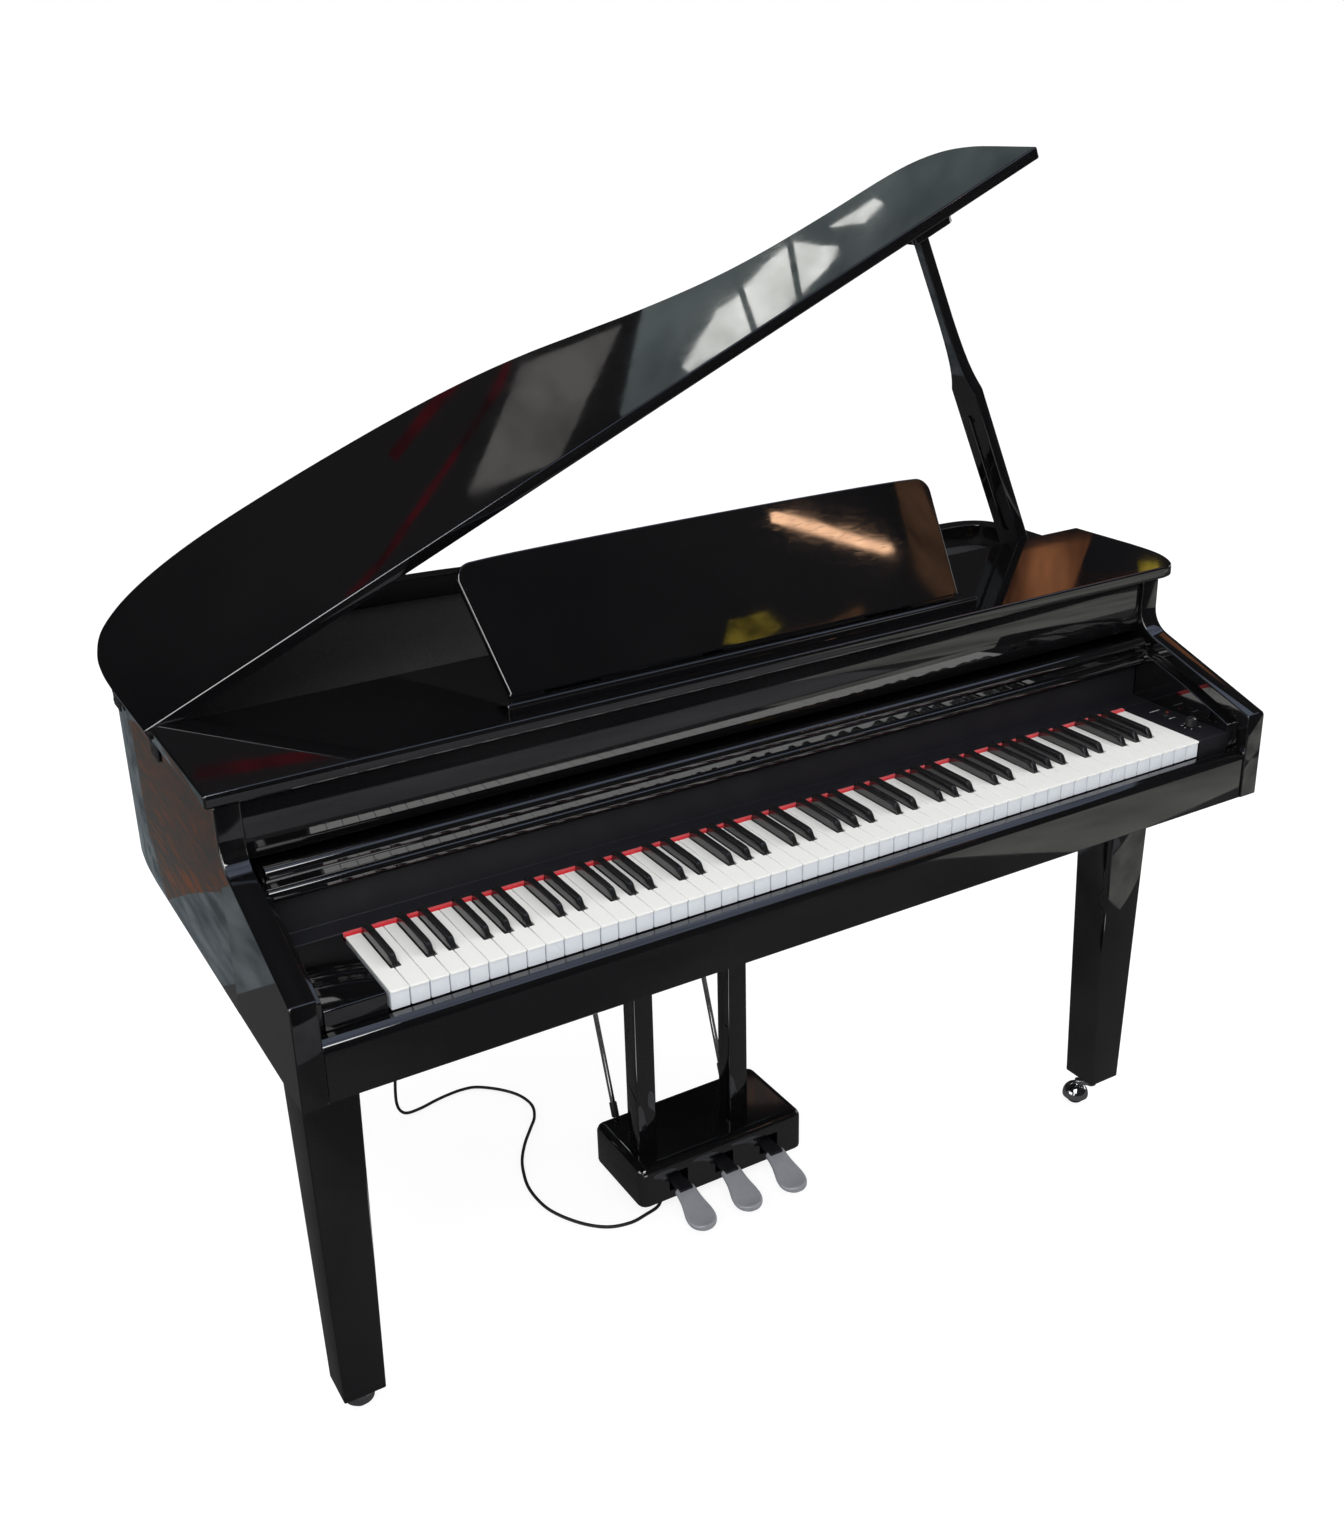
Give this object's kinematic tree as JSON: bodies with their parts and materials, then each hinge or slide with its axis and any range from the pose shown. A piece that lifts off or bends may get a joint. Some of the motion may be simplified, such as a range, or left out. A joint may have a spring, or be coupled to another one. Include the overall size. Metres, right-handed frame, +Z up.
{
  "type": "digital baby grand piano",
  "caption": "Grand-shaped digital piano in black polyester with its lid propped open, leaning music desk, sliding key cover, tapered legs on casters and a pedal lyre with its cord.",
  "frame": {"origin": "on the floor at the middle of the footprint of the open piano", "axes": "+X towards the treble end, +Y from the player towards the tail, +Z up"},
  "size_m": [1.5144, 0.956, 1.5014],
  "materials": {
    "polyester": "polished black",
    "matte_black": "matte black",
    "black_plastic": "fine satin",
    "key_white": "ivory white satin",
    "key_black": "satin black",
    "red_felt": "felt",
    "speaker_cloth": "woven grille cloth",
    "chrome": "polished",
    "satin_steel": "satin",
    "brass": "satin",
    "cable": "smooth matte"
  },
  "bodies": {
    "case": {"rim": "polyester", "arm_left": "polyester", "arm_right": "polyester", "music_shelf": "polyester", "keyslip": "polyester", "keybed": "matte_black", "bottom_board": "matte_black", "nameboard": "matte_black", "key_felt": "red_felt", "key_block_left": "polyester", "control_panel": "matte_black", "soundboard": "speaker_cloth", "mains_inlet": "black_plastic", "keys_bass": "key_white", "keys_treble": "key_white", "sharps_bass": "key_black", "sharps_treble": "key_black", "desk_ledge": "polyester", "lid_hinge_1": "satin_steel", "lid_hinge_2": "satin_steel", "prop_bracket": "brass", "leg_left": "polyester", "leg_right": "polyester", "leg_rear": "polyester", "lyre_post_left": "polyester", "lyre_post_right": "polyester", "pedal_box": "polyester", "brace_left": "chrome", "brace_right": "chrome", "pedal_cord": "cable"},
    "lid": {"lid": "polyester", "prop_cup": "polyester"},
    "prop": {"lid_prop": "polyester"},
    "short_prop": {"short_prop": "polyester"},
    "desk": {"music_desk": "polyester"},
    "strut": {"desk_strut": "satin_steel"},
    "key_cover": {"key_cover": "polyester"},
    "volume_knob": {"volume_knob": "black_plastic"},
    "power_button": {"power_button": "black_plastic"},
    "key_c4": {"key_c4": "key_white"},
    "key_c_sharp4": {"key_c_sharp4": "key_black"},
    "key_d4": {"key_d4": "key_white"},
    "key_d_sharp4": {"key_d_sharp4": "key_black"},
    "key_e4": {"key_e4": "key_white"},
    "key_f4": {"key_f4": "key_white"},
    "key_f_sharp4": {"key_f_sharp4": "key_black"},
    "key_g4": {"key_g4": "key_white"},
    "key_g_sharp4": {"key_g_sharp4": "key_black"},
    "key_a4": {"key_a4": "key_white"},
    "key_a_sharp4": {"key_a_sharp4": "key_black"},
    "key_b4": {"key_b4": "key_white"},
    "pedal_soft": {"pedal_soft": "satin_steel"},
    "pedal_sostenuto": {"pedal_sostenuto": "satin_steel"},
    "pedal_damper": {"pedal_damper": "satin_steel"},
    "caster_left": {"caster_hood_left": "chrome"},
    "wheel_left": {"caster_wheel_left": "black_plastic"},
    "caster_right": {"caster_hood_right": "chrome"},
    "wheel_right": {"caster_wheel_right": "black_plastic"},
    "caster_rear": {"caster_hood_rear": "chrome"},
    "wheel_rear": {"caster_wheel_rear": "black_plastic"}
  },
  "joints": [
    {"name": "lid_open", "type": "hinge", "parent": "case", "child": "lid", "pos_m": [-0.7448, -0.032, 0.891], "axis": [0, -1, 0], "range_deg": [0, 25]},
    {"name": "prop_fold", "type": "hinge", "parent": "case", "child": "prop", "pos_m": [0.6622, -0.005, 0.874], "axis": [0, -1, 0], "range_deg": [0, 65.5]},
    {"name": "short_prop_fold", "type": "hinge", "parent": "prop", "child": "short_prop", "pos_m": [0.63738, -0.005, 0.93081], "axis": [0, 1, 0], "range_deg": [0, 65.5]},
    {"name": "desk_fold", "type": "hinge", "parent": "case", "child": "desk", "pos_m": [-0.0078, -0.199, 0.9127], "axis": [-1, 0, 0], "range_deg": [0, 61]},
    {"name": "strut_fold", "type": "hinge", "parent": "desk", "child": "strut", "pos_m": [-0.0078, -0.16021, 0.98267], "axis": [1, 0, 0], "range_deg": [0, 122]},
    {"name": "key_cover_slide", "type": "slide", "parent": "case", "child": "key_cover", "axis": [0, -0.9659, -0.2588], "range_m": [0, 0.175]},
    {"name": "key_c4_press", "type": "hinge", "parent": "case", "child": "key_c4", "pos_m": [-0.07155, -0.229, 0.694], "axis": [1, 0, 0], "range_deg": [0, 3], "stiffness_Nm_per_rad": 1.5, "springref_deg": -8.59},
    {"name": "key_c_sharp4_press", "type": "hinge", "parent": "case", "child": "key_c_sharp4", "pos_m": [-0.0614, -0.229, 0.694], "axis": [1, 0, 0], "range_deg": [0, 3], "stiffness_Nm_per_rad": 1.2, "springref_deg": -6.88},
    {"name": "key_d4_press", "type": "hinge", "parent": "case", "child": "key_d4", "pos_m": [-0.04805, -0.229, 0.694], "axis": [1, 0, 0], "range_deg": [0, 3], "stiffness_Nm_per_rad": 1.5, "springref_deg": -8.59},
    {"name": "key_d_sharp4_press", "type": "hinge", "parent": "case", "child": "key_d_sharp4", "pos_m": [-0.0347, -0.229, 0.694], "axis": [1, 0, 0], "range_deg": [0, 3], "stiffness_Nm_per_rad": 1.2, "springref_deg": -6.88},
    {"name": "key_e4_press", "type": "hinge", "parent": "case", "child": "key_e4", "pos_m": [-0.02455, -0.229, 0.694], "axis": [1, 0, 0], "range_deg": [0, 3], "stiffness_Nm_per_rad": 1.5, "springref_deg": -8.59},
    {"name": "key_f4_press", "type": "hinge", "parent": "case", "child": "key_f4", "pos_m": [-0.00105, -0.229, 0.694], "axis": [1, 0, 0], "range_deg": [0, 3], "stiffness_Nm_per_rad": 1.5, "springref_deg": -8.59},
    {"name": "key_f_sharp4_press", "type": "hinge", "parent": "case", "child": "key_f_sharp4", "pos_m": [0.0085, -0.229, 0.694], "axis": [1, 0, 0], "range_deg": [0, 3], "stiffness_Nm_per_rad": 1.2, "springref_deg": -6.88},
    {"name": "key_g4_press", "type": "hinge", "parent": "case", "child": "key_g4", "pos_m": [0.02245, -0.229, 0.694], "axis": [1, 0, 0], "range_deg": [0, 3], "stiffness_Nm_per_rad": 1.5, "springref_deg": -8.59},
    {"name": "key_g_sharp4_press", "type": "hinge", "parent": "case", "child": "key_g_sharp4", "pos_m": [0.0342, -0.229, 0.694], "axis": [1, 0, 0], "range_deg": [0, 3], "stiffness_Nm_per_rad": 1.2, "springref_deg": -6.88},
    {"name": "key_a4_press", "type": "hinge", "parent": "case", "child": "key_a4", "pos_m": [0.04595, -0.229, 0.694], "axis": [1, 0, 0], "range_deg": [0, 3], "stiffness_Nm_per_rad": 1.5, "springref_deg": -8.59},
    {"name": "key_a_sharp4_press", "type": "hinge", "parent": "case", "child": "key_a_sharp4", "pos_m": [0.0599, -0.229, 0.694], "axis": [1, 0, 0], "range_deg": [0, 3], "stiffness_Nm_per_rad": 1.2, "springref_deg": -6.88},
    {"name": "key_b4_press", "type": "hinge", "parent": "case", "child": "key_b4", "pos_m": [0.06945, -0.229, 0.694], "axis": [1, 0, 0], "range_deg": [0, 3], "stiffness_Nm_per_rad": 1.5, "springref_deg": -8.59},
    {"name": "pedal_soft_press", "type": "hinge", "parent": "case", "child": "pedal_soft", "pos_m": [-0.1028, -0.113, 0.056], "axis": [1, 0, 0], "range_deg": [0, 5], "stiffness_Nm_per_rad": 8, "springref_deg": -6.88},
    {"name": "pedal_sostenuto_press", "type": "hinge", "parent": "case", "child": "pedal_sostenuto", "pos_m": [-0.0208, -0.113, 0.056], "axis": [1, 0, 0], "range_deg": [0, 5], "stiffness_Nm_per_rad": 8, "springref_deg": -6.88},
    {"name": "pedal_damper_press", "type": "hinge", "parent": "case", "child": "pedal_damper", "pos_m": [0.0612, -0.113, 0.056], "axis": [1, 0, 0], "range_deg": [0, 5], "stiffness_Nm_per_rad": 8, "springref_deg": -6.88},
    {"name": "volume_turn", "type": "hinge", "parent": "case", "child": "volume_knob", "pos_m": [0.6302, -0.409, 0.7164], "axis": [0, 0, 1], "range_deg": [-135, 135]},
    {"name": "power_press", "type": "slide", "parent": "case", "child": "power_button", "axis": [0, 0, -1], "range_m": [0, 0.0015], "stiffness_N_per_m": 300, "springref_m": -0.003},
    {"name": "caster_left_swivel", "type": "hinge", "parent": "case", "child": "caster_left", "pos_m": [-0.6658, -0.289, 0.054], "axis": [0, 0, 1], "continuous": true},
    {"name": "wheel_left_spin", "type": "hinge", "parent": "caster_left", "child": "wheel_left", "pos_m": [-0.65985, -0.26678, 0.016], "axis": [0.9659, -0.2588, 0], "continuous": true},
    {"name": "caster_right_swivel", "type": "hinge", "parent": "case", "child": "caster_right", "pos_m": [0.6202, -0.289, 0.054], "axis": [0, 0, 1], "continuous": true},
    {"name": "wheel_right_spin", "type": "hinge", "parent": "caster_right", "child": "wheel_right", "pos_m": [0.60208, -0.27484, 0.016], "axis": [0.6157, 0.788, 0], "continuous": true},
    {"name": "caster_rear_swivel", "type": "hinge", "parent": "case", "child": "caster_rear", "pos_m": [-0.4858, 0.346, 0.054], "axis": [0, 0, 1], "continuous": true},
    {"name": "wheel_rear_spin", "type": "hinge", "parent": "caster_rear", "child": "wheel_rear", "pos_m": [-0.49367, 0.36761, 0.016], "axis": [0.9397, 0.342, 0], "continuous": true}
  ],
  "couplings": [
    {"joint": "strut_fold", "follows": "desk_fold", "ratio": 2}
  ]
}
